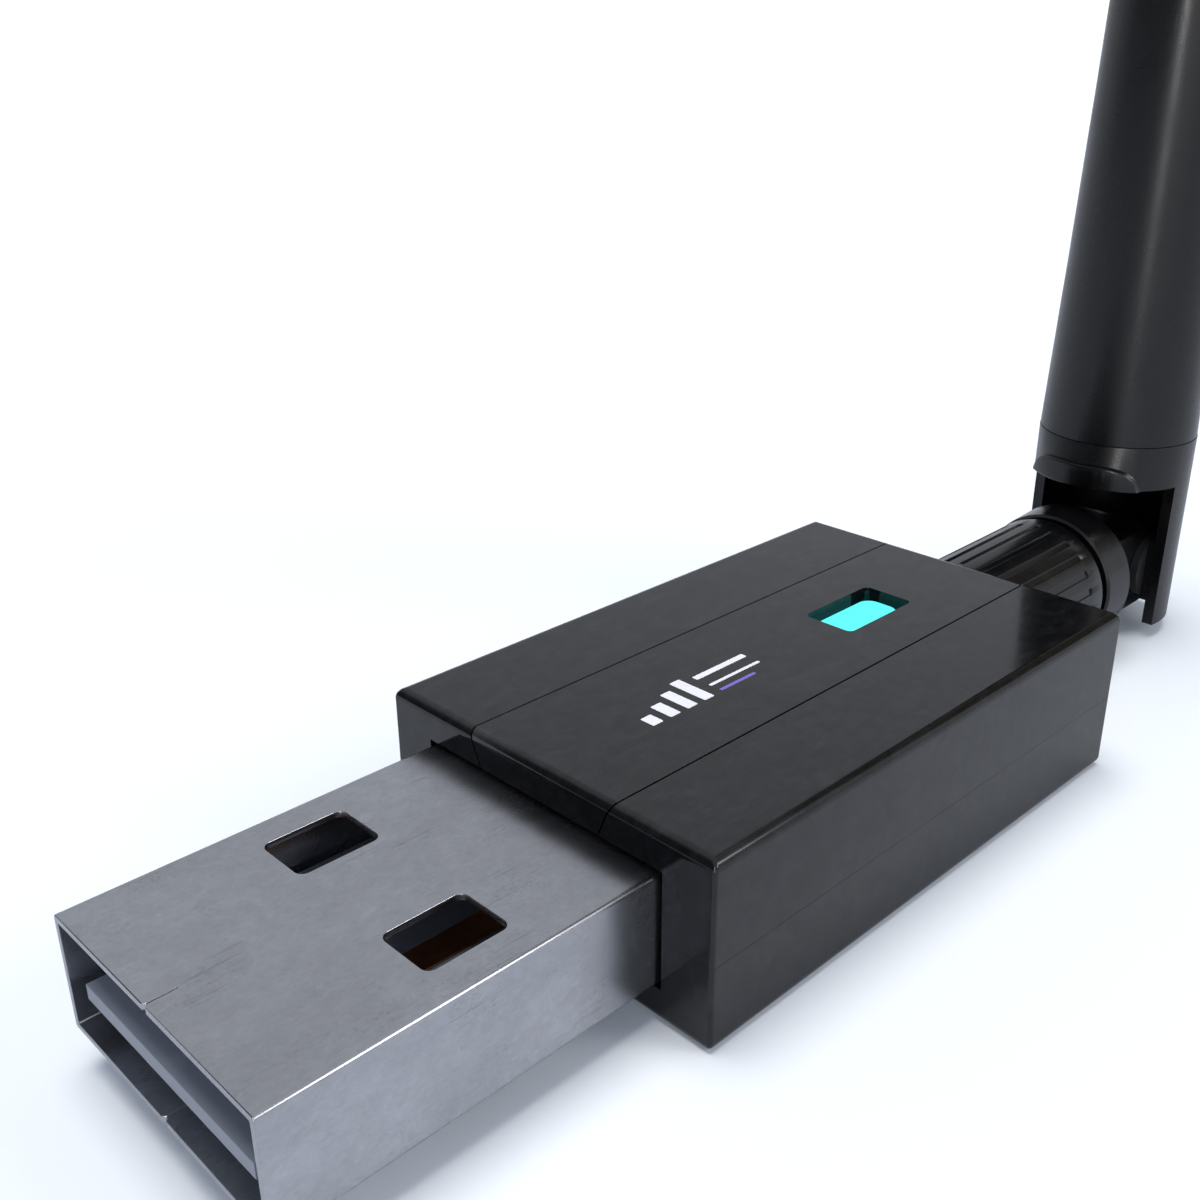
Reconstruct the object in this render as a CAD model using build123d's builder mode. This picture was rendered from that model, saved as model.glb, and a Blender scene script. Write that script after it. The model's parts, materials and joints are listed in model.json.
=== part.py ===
"""USB Wi-Fi adapter with a screw-on, folding and swivelling whip antenna.

Frame, millimetres: +X runs from the USB plug's mouth to the antenna, +Z is up,
Y is across. The origin is on the plug's centre line at the case's front face.
The antenna stands straight up at rest.
"""

import os
from math import cos, radians, sin, sqrt

from build123d import *

os.makedirs("parts", exist_ok=True)

# ---- Driving dimensions ---------------------------------------------------

# USB-A plug
PLUG_W = 12.0
PLUG_H = 4.5
PLUG_OUT = 15.0
PLUG_LEN = 18.75
SHEET = 0.25
PLUG_CORNER = 0.16
PLUG_INNER_CORNER = 0.05
MOUTH_EDGE = 0.05
NICK = 0.2
SLIT_L = 1.1
SLIT_W = 0.045
WINDOW_L = 3.25
WINDOW_W = 2.45
WINDOW_X = -PLUG_OUT + 8.24
WINDOW_Y = 3.4
TONGUE_W = 10.2
TONGUE_ROOT_W = 11.0
TONGUE_ROOT_X0 = -PLUG_OUT + 5.5
TONGUE_X0 = -PLUG_OUT + 0.25
TONGUE_TOP = -0.15
TONGUE_T = 0.6
CONTACT_T = 0.15
CONTACT_W = 1.2
CONTACT_TOP = TONGUE_TOP + 0.05

# Case
CASE_L = 26.8
CASE_W = 16.8
CASE_H = 7.6
WALL = 1.2
EDGE = 0.42
CORNER_EDGE = 0.16
PARTING_Z = -0.3
HAIRLINE = 0.012
LIP_INSET = 0.7
LIP_RISE = 0.6
STRIP_TOP_W = 7.52
STRIP_FOOT_W = 6.3
STRIP_T = 1.4
SEAM = 0.08
RIB_X = (8.0, 23.2)
RIB_L = 1.0
RIB_DEPTH = 0.9
STUD_R = 0.5

# Lit push button and its pocket
KEY_X = 19.05
POCKET_L = 4.5
POCKET_W = 2.45
KEY_GAP = 0.28
KEY_RECESS = 0.4
KEY_CORNER = 0.62
KEY_TRAVEL = 0.25
POCKET_CORNER = 0.28
KEY_FLANGE_L = 5.1
KEY_FLANGE_W = 3.1
KEY_FLANGE_T = 0.5
KEY_STEM_R = 0.8

# Circuit board
BOARD_X0 = 4.0
BOARD_X1 = 23.7
BOARD_W = 13.8
BOARD_T = 0.8
BOARD_TOP = -0.45
CHIP_X = 11.2
SWITCH_X = 19.7
LED_X = 17.0
POST_XY = ((7.0, 6.1), (7.0, -6.1), (21.0, 6.1), (21.0, -6.1))
POST_R = 0.8
PRESS_POST_R = 0.6
TAB_L = 2.2
TAB_W = 1.26

# Antenna connector, 1/4-36 UNS thread
THREAD_R = 3.175
THREAD_ROOT_R = 2.8
THREAD_PITCH = 25.4 / 36
JACK_BORE_R = 1.9
NECK_R = 2.2
JACK_END = CASE_L + 7.4
NUT_START = CASE_L + 0.15
NUT_END = NUT_START + 9.0
NUT_R0 = 3.46
NUT_R1 = 3.53
NUT_NECK_R = 3.1
NUT_NECK_X = NUT_END - 0.3
FLUTES = 24
FLUTE_W = 0.34
FLUTE_DEPTH = 0.1
TAIL_R = 2.4
FLANGE_R = 3.1
NOSE_R = 2.25
RUNNING = 0.05

# Swivel barrel, hinge and antenna
BARREL_X0 = NUT_END + 0.15
BARREL_X1 = BARREL_X0 + 2.4
BARREL_R0 = 3.6
BARREL_R1 = 3.68
HINGE_X = BARREL_X0 + 6.0
LUG_R = 2.2
LUG_HALF = 2.6
PIN_R = 0.6
PIN_HALF = 3.65
FORK_R = 4.0
FORK_BORE = 3.45
FORK_ROOF = 4.9
FORK_TOP = 7.2
FORK_FRONT = 0.8
FORK_REAR = 1.6
LEG_END_Z = -3.05
BACK_WALL_Z = -2.65
VISOR_HALF = 2.95
VISOR_RISE = 1.2
VISOR_OUT = 0.36
VISOR_EDGE = 0.12
BOSS_R = 1.9
WASHER_R = 1.7
WASHER_T = 0.4
SPIGOT_R = 3.2
SPIGOT_H = 2.5
RADOME_TOP = 78.0
RADOME_TIP_R = 2.35
RADOME_WALL = 0.75
COAX_R = 0.9

CASE_TOP = CASE_H / 2
STRIP_Z = CASE_TOP - STRIP_T
CEILING = CASE_TOP - WALL
FLOOR = -CASE_TOP + WALL
BOARD_BOTTOM = BOARD_TOP - BOARD_T
ANTENNA_AXIS = Axis((HINGE_X, 0, 0), (0, 0, 1))
HINGE_XZ = Plane(origin=(HINGE_X, 0, 0), x_dir=(1, 0, 0), z_dir=(0, -1, 0))
MOUTH_W = PLUG_W + 0.3


def finish(builder, name):
    """Label a finished piece and write its STEP file."""
    builder.part.label = name
    export_step(builder.part, f"parts/{name}.step")


# ---- Case -----------------------------------------------------------------

# Outer form shared by both shells and the centre strip.
with BuildPart() as case_form:
    with BuildSketch(Plane.YZ):
        Rectangle(CASE_W, CASE_H)
    extrude(amount=CASE_L)
    fillet(case_form.faces().filter_by(Axis.Z).edges(), EDGE)
    fillet(case_form.edges().filter_by(Axis.Z), CORNER_EDGE)

# Upper shell: both cheeks and the upper half of the end walls. Two ribs under
# the strip tie the cheeks together.
with BuildPart() as upper_shell:
    add(case_form.part)
    split(bisect_by=Plane.XY.offset(PARTING_Z + HAIRLINE / 2), keep=Keep.TOP)
    with BuildSketch(Plane.XY.offset(PARTING_Z)):
        with Locations((CASE_L / 2, 0)):
            Rectangle(CASE_L - 2 * WALL, CASE_W - 2 * WALL)
    extrude(amount=CEILING - PARTING_Z, mode=Mode.SUBTRACT)
    with BuildSketch(Plane.XY.offset(PARTING_Z)):
        with Locations((CASE_L / 2, 0)):
            Rectangle(CASE_L - 2 * (LIP_INSET - HAIRLINE), CASE_W - 2 * (LIP_INSET - HAIRLINE))
    extrude(amount=LIP_RISE + HAIRLINE, mode=Mode.SUBTRACT)
    with BuildSketch(Plane.XY.offset(STRIP_Z - RIB_DEPTH)):
        with Locations(*[(x, 0) for x in RIB_X]):
            Rectangle(RIB_L, CASE_W - 2 * WALL + 0.4)
    extrude(amount=RIB_DEPTH)
    with BuildSketch(Plane.XY.offset(BOARD_TOP + HAIRLINE)):
        with Locations(*POST_XY):
            Circle(PRESS_POST_R)
    extrude(amount=CEILING - BOARD_TOP)
    with BuildSketch(Plane.YZ.offset(-1)):
        with BuildLine():
            Polyline(
                (-STRIP_FOOT_W / 2, STRIP_Z - HAIRLINE),
                (STRIP_FOOT_W / 2, STRIP_Z - HAIRLINE),
                (STRIP_TOP_W / 2, CASE_TOP),
                (STRIP_TOP_W / 2, CASE_TOP + 1),
                (-STRIP_TOP_W / 2, CASE_TOP + 1),
                (-STRIP_TOP_W / 2, CASE_TOP),
                close=True,
            )
        make_face()
    extrude(amount=CASE_L + 2, mode=Mode.SUBTRACT)
    with BuildSketch(Plane.XY.offset(STRIP_Z - RIB_DEPTH - 0.1)):
        with Locations(*[(x, 0) for x in RIB_X]):
            Circle(STUD_R + HAIRLINE)
    extrude(amount=RIB_DEPTH + 0.2, mode=Mode.SUBTRACT)
    with BuildSketch(Plane.YZ.offset(-1)):
        Rectangle(MOUTH_W, 2 * STRIP_Z)
    extrude(amount=WALL + 1.1, mode=Mode.SUBTRACT)
    with BuildSketch(Plane.YZ.offset(CASE_L - WALL - 0.5)):
        Circle(NECK_R + RUNNING)
    extrude(amount=WALL + 1, mode=Mode.SUBTRACT)
finish(upper_shell, "upper_shell")

# Lower shell: tray with a locating lip and four board posts.
with BuildPart() as lower_shell:
    add(case_form.part)
    split(bisect_by=Plane.XY.offset(PARTING_Z - HAIRLINE / 2), keep=Keep.BOTTOM)
    with BuildSketch(Plane.XY.offset(FLOOR)):
        with Locations((CASE_L / 2, 0)):
            Rectangle(CASE_L - 2 * WALL, CASE_W - 2 * WALL)
    extrude(amount=PARTING_Z - FLOOR, mode=Mode.SUBTRACT)
    with BuildSketch(Plane.XY.offset(PARTING_Z - 0.5)):
        with Locations((CASE_L / 2, 0)):
            Rectangle(CASE_L - 2 * LIP_INSET, CASE_W - 2 * LIP_INSET)
            Rectangle(CASE_L - 2 * WALL, CASE_W - 2 * WALL, mode=Mode.SUBTRACT)
    extrude(amount=0.5 + LIP_RISE)
    with BuildSketch(Plane.XY.offset(FLOOR - 0.2)):
        with Locations(*POST_XY):
            Circle(POST_R)
    extrude(amount=BOARD_BOTTOM - FLOOR + 0.2)
    with BuildSketch(Plane.YZ.offset(-1)):
        Rectangle(MOUTH_W, 2 * STRIP_Z)
    extrude(amount=WALL + 1.1, mode=Mode.SUBTRACT)
    with BuildSketch(Plane.YZ.offset(CASE_L - WALL - 0.5)):
        Circle(NECK_R + RUNNING)
    extrude(amount=WALL + 1, mode=Mode.SUBTRACT)
finish(lower_shell, "lower_shell")

# Centre strip: wedge-sided spine over the top and down both ends, with the
# button's pocket through it and two locating studs under it.
with BuildPart() as centre_strip:
    add(case_form.part)
    with BuildSketch(Plane.YZ.offset(-1)):
        with BuildLine():
            Polyline(
                (-STRIP_FOOT_W / 2 + SEAM, STRIP_Z),
                (STRIP_FOOT_W / 2 - SEAM, STRIP_Z),
                (STRIP_TOP_W / 2 - SEAM, CASE_TOP),
                (STRIP_TOP_W / 2 - SEAM, CASE_TOP + 1),
                (-STRIP_TOP_W / 2 + SEAM, CASE_TOP + 1),
                (-STRIP_TOP_W / 2 + SEAM, CASE_TOP),
                close=True,
            )
        make_face()
    extrude(amount=CASE_L + 2, mode=Mode.INTERSECT)
    with BuildSketch(Plane.XY.offset(STRIP_Z - 1)):
        with Locations((KEY_X, 0)):
            RectangleRounded(POCKET_L, POCKET_W, POCKET_CORNER)
    extrude(amount=STRIP_T + 2, mode=Mode.SUBTRACT)
    with BuildSketch(Plane.XY.offset(STRIP_Z - RIB_DEPTH)):
        with Locations(*[(x, 0) for x in RIB_X]):
            Circle(STUD_R)
    extrude(amount=RIB_DEPTH + 0.2)
finish(centre_strip, "centre_strip")

# ---- USB plug -------------------------------------------------------------

# Folded sheet shell with four latch windows, a seam nick in each lip and two
# solder ears beside the board.
with BuildPart() as usb_shell:
    with BuildSketch(Plane.YZ.offset(-PLUG_OUT)):
        RectangleRounded(PLUG_W, PLUG_H, PLUG_CORNER)
    extrude(amount=PLUG_LEN)
    fillet(usb_shell.faces().sort_by(Axis.X)[0].edges(), MOUTH_EDGE)
    with BuildSketch(Plane.YZ.offset(-PLUG_OUT - 1)):
        RectangleRounded(PLUG_W - 2 * SHEET, PLUG_H - 2 * SHEET, PLUG_INNER_CORNER)
    extrude(amount=PLUG_LEN + 2, mode=Mode.SUBTRACT)
    with BuildSketch(Plane.XY.offset(-PLUG_H)):
        with Locations((WINDOW_X, WINDOW_Y), (WINDOW_X, -WINDOW_Y)):
            RectangleRounded(WINDOW_L, WINDOW_W, 0.35)
    extrude(amount=2 * PLUG_H, mode=Mode.SUBTRACT)
    with BuildSketch(Plane.XY.offset(-PLUG_H)):
        with Locations((-PLUG_OUT, 0)):
            Rectangle(NICK, NICK, rotation=45)
    extrude(amount=2 * PLUG_H, mode=Mode.SUBTRACT)
    with BuildSketch(Plane.XY.offset(-PLUG_H)):
        with Locations((-PLUG_OUT + SLIT_L / 2, 0)):
            Rectangle(SLIT_L, SLIT_W)
    extrude(amount=2 * PLUG_H, mode=Mode.SUBTRACT)
    with BuildSketch(Plane.YZ.offset(PLUG_LEN - PLUG_OUT - 0.2)):
        with Locations(((PLUG_W - SHEET) / 2, -1.05), (-(PLUG_W - SHEET) / 2, -1.05)):
            Rectangle(SHEET, 1.3)
    extrude(amount=2.4)
finish(usb_shell, "usb_shell")

CONTACT_Y = (3.7, 1.45, -1.45, -3.7)
CONTACT_FRONT = (-PLUG_OUT + 1.0, -PLUG_OUT + 2.0, -PLUG_OUT + 2.0, -PLUG_OUT + 1.0)
BLOCK_X0 = -2.6
BLOCK_X1 = PLUG_LEN - PLUG_OUT

# Insulator: the tongue and the rear block, grooved for the contacts.
with BuildPart() as usb_insulator:
    with BuildSketch(Plane.YZ.offset(TONGUE_X0)):
        with Locations((0, TONGUE_TOP - TONGUE_T / 2)):
            Rectangle(TONGUE_W, TONGUE_T)
    extrude(amount=BLOCK_X0 - TONGUE_X0)
    with BuildSketch(Plane.YZ.offset(TONGUE_ROOT_X0)):
        with Locations((0, TONGUE_TOP - TONGUE_T / 2)):
            Rectangle(TONGUE_ROOT_W, TONGUE_T)
    extrude(amount=BLOCK_X0 - TONGUE_ROOT_X0)
    with BuildSketch(Plane.YZ.offset(BLOCK_X0)):
        RectangleRounded(PLUG_W - 2 * SHEET - 0.04, PLUG_H - 2 * SHEET - 0.04, PLUG_INNER_CORNER)
    extrude(amount=BLOCK_X1 - BLOCK_X0)
    for y, front in zip(CONTACT_Y, CONTACT_FRONT):
        with BuildSketch(Plane.YZ.offset(front)):
            with Locations((y, CONTACT_TOP - CONTACT_T / 2)):
                Rectangle(CONTACT_W, CONTACT_T)
        extrude(amount=BLOCK_X1 - front, mode=Mode.SUBTRACT)
finish(usb_insulator, "usb_insulator")

# Contacts: four strips along the tongue, stepping down to solder feet.
with BuildPart() as usb_contacts:
    for y, front in zip(CONTACT_Y, CONTACT_FRONT):
        with BuildSketch(Plane.XZ.offset(-y)):
            with BuildLine():
                Polyline(
                    (front, CONTACT_TOP),
                    (BLOCK_X1 + 0.65, CONTACT_TOP),
                    (BLOCK_X1 + 0.65, BOARD_TOP + CONTACT_T),
                    (BLOCK_X1 + 1.5, BOARD_TOP + CONTACT_T),
                    (BLOCK_X1 + 1.5, BOARD_TOP),
                    (BLOCK_X1 + 0.5, BOARD_TOP),
                    (BLOCK_X1 + 0.5, CONTACT_TOP - CONTACT_T),
                    (front, CONTACT_TOP - CONTACT_T),
                    close=True,
                )
            make_face()
        extrude(amount=CONTACT_W / 2, both=True)
finish(usb_contacts, "usb_contacts")

# ---- Board and its components ---------------------------------------------

with BuildPart() as circuit_board:
    with BuildSketch(Plane.XY.offset(BOARD_BOTTOM)):
        with Locations(((BOARD_X0 + BOARD_X1) / 2, 0)):
            Rectangle(BOARD_X1 - BOARD_X0, BOARD_W)
        with Locations((BOARD_X0, BOARD_W / 2), (BOARD_X0, -BOARD_W / 2)):
            Rectangle(2 * TAB_L, 2 * TAB_W, mode=Mode.SUBTRACT)
    extrude(amount=BOARD_T)
finish(circuit_board, "circuit_board")

with BuildPart() as wifi_chip:
    with BuildSketch(Plane.XY.offset(BOARD_TOP)):
        with Locations((CHIP_X, 0)):
            Rectangle(5.0, 5.0)
    extrude(amount=0.8)
    chamfer(wifi_chip.edges().filter_by(Axis.Z), 0.15)
    with BuildSketch(Plane.XY.offset(BOARD_TOP + 0.7)):
        with Locations((CHIP_X - 1.7, 1.7)):
            Circle(0.3)
    extrude(amount=0.2, mode=Mode.SUBTRACT)
finish(wifi_chip, "wifi_chip")

with BuildPart() as crystal:
    with BuildSketch(Plane.XY.offset(BOARD_TOP)):
        with Locations((CHIP_X, 4.7)):
            Rectangle(3.2, 2.5)
    extrude(amount=0.3)
    with BuildSketch(Plane.XY.offset(BOARD_TOP + 0.3)):
        with Locations((CHIP_X, 4.7)):
            RectangleRounded(2.9, 2.2, 0.4)
    extrude(amount=0.4)
finish(crystal, "crystal")

with BuildPart() as power_inductor:
    with BuildSketch(Plane.XY.offset(BOARD_TOP)):
        with Locations((8.6, -4.7)):
            RectangleRounded(2.5, 2.0, 0.3)
    extrude(amount=1.2)
    chamfer(power_inductor.faces().sort_by(Axis.Z)[-1].edges(), 0.15)
finish(power_inductor, "power_inductor")

# Chip capacitors and resistors, one solid each.
with BuildPart() as chip_capacitors:
    with BuildSketch(Plane.XY.offset(BOARD_TOP)):
        with Locations((13.2, -4.4)):
            with GridLocations(1.8, 1.2, 3, 2):
                Rectangle(1.0, 0.5)
        with Locations((15.6, 4.4)):
            with GridLocations(1.8, 1.2, 2, 2):
                Rectangle(1.0, 0.5)
    extrude(amount=0.5)
finish(chip_capacitors, "chip_capacitors")

with BuildPart() as status_led:
    with BuildSketch(Plane.XY.offset(BOARD_TOP)):
        with Locations((LED_X, 0)):
            Rectangle(0.8, 1.6)
    extrude(amount=0.3)
    with BuildSketch(Plane.XY.offset(BOARD_TOP + 0.3)):
        with Locations((LED_X, 0)):
            RectangleRounded(0.7, 1.1, 0.15)
    extrude(amount=0.35)
finish(status_led, "status_led")

SWITCH_H = 1.3
SWITCH_FLOOR = 0.25
SWITCH_ROOF = 1.05
SWITCH_HOLE_R = 0.78
DOME_TOP = 0.5
PLUNGER_BOTTOM = DOME_TOP + KEY_TRAVEL + 0.05
PLUNGER_TOP = BOARD_TOP + 1.7

with BuildPart() as switch_body:
    with BuildSketch(Plane.XY.offset(BOARD_TOP)):
        with Locations((SWITCH_X, 0)):
            RectangleRounded(3.0, 3.4, 0.25)
    extrude(amount=SWITCH_H)
    with BuildSketch(Plane.XY.offset(BOARD_TOP + SWITCH_FLOOR)):
        with Locations((SWITCH_X, 0)):
            Circle(1.25)
    extrude(amount=SWITCH_ROOF - SWITCH_FLOOR, mode=Mode.SUBTRACT)
    with BuildSketch(Plane.XY.offset(BOARD_TOP + SWITCH_ROOF - 0.1)):
        with Locations((SWITCH_X, 0)):
            Circle(SWITCH_HOLE_R)
    extrude(amount=0.5, mode=Mode.SUBTRACT)
finish(switch_body, "switch_body")

# Snap dome under the plunger, revolved about the switch's own axis.
with BuildPart() as switch_dome:
    with BuildSketch(Plane(origin=(SWITCH_X, 0, BOARD_TOP), x_dir=(1, 0, 0), z_dir=(0, -1, 0))):
        with BuildLine():
            Polyline(
                (0, DOME_TOP),
                (0.7, DOME_TOP - 0.05),
                (1.2, SWITCH_FLOOR + 0.08),
                (1.2, SWITCH_FLOOR),
                (0.68, DOME_TOP - 0.13),
                (0, DOME_TOP - 0.08),
                close=True,
            )
        make_face()
    revolve(axis=Axis((SWITCH_X, 0, 0), (0, 0, 1)))
finish(switch_dome, "switch_dome")

# Plunger: a collar kept under the switch's roof and a post through its hole.
with BuildPart() as switch_plunger:
    with BuildSketch(Plane.XY.offset(BOARD_TOP + PLUNGER_BOTTOM)):
        with Locations((SWITCH_X, 0)):
            Circle(1.1)
    extrude(amount=0.2)
    with BuildSketch(Plane.XY.offset(BOARD_TOP + PLUNGER_BOTTOM)):
        with Locations((SWITCH_X, 0)):
            Circle(SWITCH_HOLE_R - RUNNING)
    extrude(amount=PLUNGER_TOP - BOARD_TOP - PLUNGER_BOTTOM)
finish(switch_plunger, "switch_plunger")

# Lit button: translucent cap in the strip's pocket, a retaining flange under
# the strip and a stem just above the switch's plunger.
KEY_FLANGE_Z = STRIP_Z - 0.05 - KEY_FLANGE_T

with BuildPart() as light_button:
    with BuildSketch(Plane.XY.offset(KEY_FLANGE_Z)):
        with Locations((KEY_X, 0)):
            RectangleRounded(POCKET_L - 2 * KEY_GAP, POCKET_W - 2 * KEY_GAP, KEY_CORNER)
    extrude(amount=CASE_TOP - KEY_RECESS - KEY_FLANGE_Z)
    fillet(light_button.faces().sort_by(Axis.Z)[-1].edges(), 0.08)
    with BuildSketch(Plane.XY.offset(KEY_FLANGE_Z)):
        with Locations((KEY_X, 0)):
            Rectangle(KEY_FLANGE_L, KEY_FLANGE_W)
    extrude(amount=KEY_FLANGE_T)
    with BuildSketch(Plane.XY.offset(PLUNGER_TOP + 0.04)):
        with Locations((SWITCH_X, 0)):
            Circle(KEY_STEM_R)
    extrude(amount=KEY_FLANGE_Z - PLUNGER_TOP)
finish(light_button, "light_button")

# ---- Antenna connector ----------------------------------------------------

JACK_X0 = BOARD_X1 + 0.2
THREAD_X0 = CASE_L + 0.03
SHOULDER_X = CASE_L - WALL - 0.03
COUNTERBORE_X = JACK_END - 2.2
THREAD_COUNT = 9
GROOVE_HALF = 0.26
BLOCK_R = 2.55

# Jack: round rear block, neck held in the case's back wall, threaded barrel
# whose thread is drawn as plain rings, and four legs that straddle the board.
with BuildPart() as jack_body:
    with BuildSketch(Plane.XZ):
        with BuildLine():
            thread_line = [(THREAD_X0, NECK_R), (THREAD_X0, THREAD_R)]
            for turn in range(THREAD_COUNT):
                groove_x = THREAD_X0 + 0.8 + turn * THREAD_PITCH
                thread_line += [
                    (groove_x - GROOVE_HALF, THREAD_R),
                    (groove_x, THREAD_ROOT_R),
                    (groove_x + GROOVE_HALF, THREAD_R),
                ]
            Polyline(
                (JACK_X0, JACK_BORE_R),
                (JACK_X0, BLOCK_R),
                (SHOULDER_X, BLOCK_R),
                (SHOULDER_X, NECK_R),
                *thread_line,
                (JACK_END - 0.3, THREAD_R),
                (JACK_END, THREAD_R - 0.3),
                (JACK_END, NOSE_R + RUNNING),
                (COUNTERBORE_X, NOSE_R + RUNNING),
                (COUNTERBORE_X, JACK_BORE_R),
                close=True,
            )
        make_face()
    revolve(axis=Axis.X)
    with BuildSketch(Plane.YZ.offset(JACK_X0 - 2.3)):
        with Locations((2.05, BOARD_TOP + 0.3), (-2.05, BOARD_TOP + 0.3)):
            Rectangle(0.7, 0.6)
        with Locations((1.8, BOARD_BOTTOM - 0.3), (-1.8, BOARD_BOTTOM - 0.3)):
            Rectangle(0.7, 0.6)
    extrude(amount=2.5)
    with BuildSketch(Plane.YZ.offset(JACK_X0 - 2.4)):
        Circle(JACK_BORE_R)
    extrude(amount=3.0, mode=Mode.SUBTRACT)
    with BuildSketch(Plane.YZ.offset(JACK_X0 - 0.5)):
        with Locations((0, STRIP_Z + 0.9), (0, -STRIP_Z - 0.9)):
            Rectangle(6, 2)
    extrude(amount=SHOULDER_X - JACK_X0 + 0.5, mode=Mode.SUBTRACT)
finish(jack_body, "jack_body")

JACK_PIN_R = 0.45

with BuildPart() as jack_dielectric:
    with BuildSketch(Plane.YZ.offset(JACK_X0)):
        Circle(JACK_BORE_R)
        Circle(JACK_PIN_R, mode=Mode.SUBTRACT)
    extrude(amount=COUNTERBORE_X - JACK_X0)
finish(jack_dielectric, "jack_dielectric")

with BuildPart() as jack_pin:
    with BuildSketch(Plane.YZ.offset(JACK_X0 - 1.7)):
        Circle(JACK_PIN_R)
    extrude(amount=COUNTERBORE_X + 1.6 - JACK_X0 + 1.7)
    chamfer(jack_pin.faces().sort_by(Axis.X)[-1].edges(), 0.15)
finish(jack_pin, "jack_pin")

FLANGE_X0 = JACK_END + 0.1
FLANGE_X1 = FLANGE_X0 + 0.6
NUT_LIP_X = FLANGE_X1 + 0.1
TAIL_END = BARREL_X1 - 0.4
RING_X0 = BARREL_X0 + 1.1
RING_W = 0.45
RING_GROOVE_R = 2.1
RING_OUT_R = TAIL_R + 0.3
DIELECTRIC_R = 1.6
SOCKET_R = 0.95
NUT_BORE_R = THREAD_R + 0.035

# Antenna-side connector body: nose, flange inside the nut and a tail that
# carries the swivel barrel.
with BuildPart() as plug_body:
    with BuildSketch(Plane.XZ):
        with BuildLine():
            Polyline(
                (COUNTERBORE_X + 0.1, DIELECTRIC_R),
                (COUNTERBORE_X + 0.1, NOSE_R),
                (FLANGE_X0, NOSE_R),
                (FLANGE_X0, FLANGE_R),
                (FLANGE_X1, FLANGE_R),
                (FLANGE_X1, TAIL_R),
                (RING_X0, TAIL_R),
                (RING_X0, RING_GROOVE_R),
                (RING_X0 + RING_W, RING_GROOVE_R),
                (RING_X0 + RING_W, TAIL_R),
                (TAIL_END, TAIL_R),
                (TAIL_END, DIELECTRIC_R),
                close=True,
            )
        make_face()
    revolve(axis=Axis.X)
finish(plug_body, "plug_body")

with BuildPart() as plug_dielectric:
    with BuildSketch(Plane.YZ.offset(COUNTERBORE_X + 0.3)):
        Circle(DIELECTRIC_R)
        Circle(SOCKET_R, mode=Mode.SUBTRACT)
    extrude(amount=3.9)
finish(plug_dielectric, "plug_dielectric")

with BuildPart() as plug_socket:
    with BuildSketch(Plane.YZ.offset(COUNTERBORE_X + 0.2)):
        Circle(SOCKET_R)
    extrude(amount=4.3)
    with BuildSketch(Plane.YZ.offset(COUNTERBORE_X)):
        Circle(JACK_PIN_R + RUNNING)
    extrude(amount=2.6, mode=Mode.SUBTRACT)
finish(plug_socket, "plug_socket")

# Coupling nut: slightly tapered grip with flutes that stop short of its rim,
# and a short neck that leaves a groove in front of the swivel barrel.
with BuildPart() as coupling_nut:
    with BuildSketch(Plane.XZ):
        with BuildLine():
            Polyline(
                (NUT_START, NUT_BORE_R),
                (NUT_START, NUT_R0 - 0.15),
                (NUT_START + 0.15, NUT_R0),
                (NUT_NECK_X - 0.1, NUT_R1),
                (NUT_NECK_X, NUT_R1 - 0.1),
                (NUT_NECK_X, NUT_NECK_R),
                (NUT_END, NUT_NECK_R),
                (NUT_END, TAIL_R + RUNNING),
                (NUT_LIP_X, TAIL_R + RUNNING),
                (NUT_LIP_X, NUT_BORE_R),
                close=True,
            )
        make_face()
    revolve(axis=Axis.X)
    flute_x0 = NUT_START + 0.5
    flute_x1 = NUT_END - 1.45
    for i in range(FLUTES):
        angle = 360 * i / FLUTES
        flute_dir = (0, cos(radians(angle)), sin(radians(angle)))
        flute_plane = Plane(origin=(0, 0, 0), x_dir=flute_dir, z_dir=(1, 0, 0)).offset(flute_x0)
        with BuildSketch(flute_plane):
            with Locations((NUT_R0 + 0.5, 0)):
                Rectangle(1.0 + 2 * FLUTE_DEPTH, FLUTE_W)
        with BuildSketch(flute_plane.offset(flute_x1 - flute_x0)):
            with Locations((NUT_R1 + 0.5, 0)):
                Rectangle(1.0 + 2 * FLUTE_DEPTH, FLUTE_W)
        loft(mode=Mode.SUBTRACT)
finish(coupling_nut, "coupling_nut")

# Open snap ring shared by the tail's groove and the barrel's groove.
with BuildPart() as retaining_ring:
    with BuildSketch(Plane.YZ.offset(RING_X0 + 0.04)):
        Circle(RING_OUT_R)
        Circle(RING_GROOVE_R + RUNNING, mode=Mode.SUBTRACT)
        with Locations((0, -TAIL_R)):
            Rectangle(1.6, 1.6, mode=Mode.SUBTRACT)
    extrude(amount=RING_W - 0.08)
finish(retaining_ring, "retaining_ring")

# ---- Swivel barrel and hinge ----------------------------------------------

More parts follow.
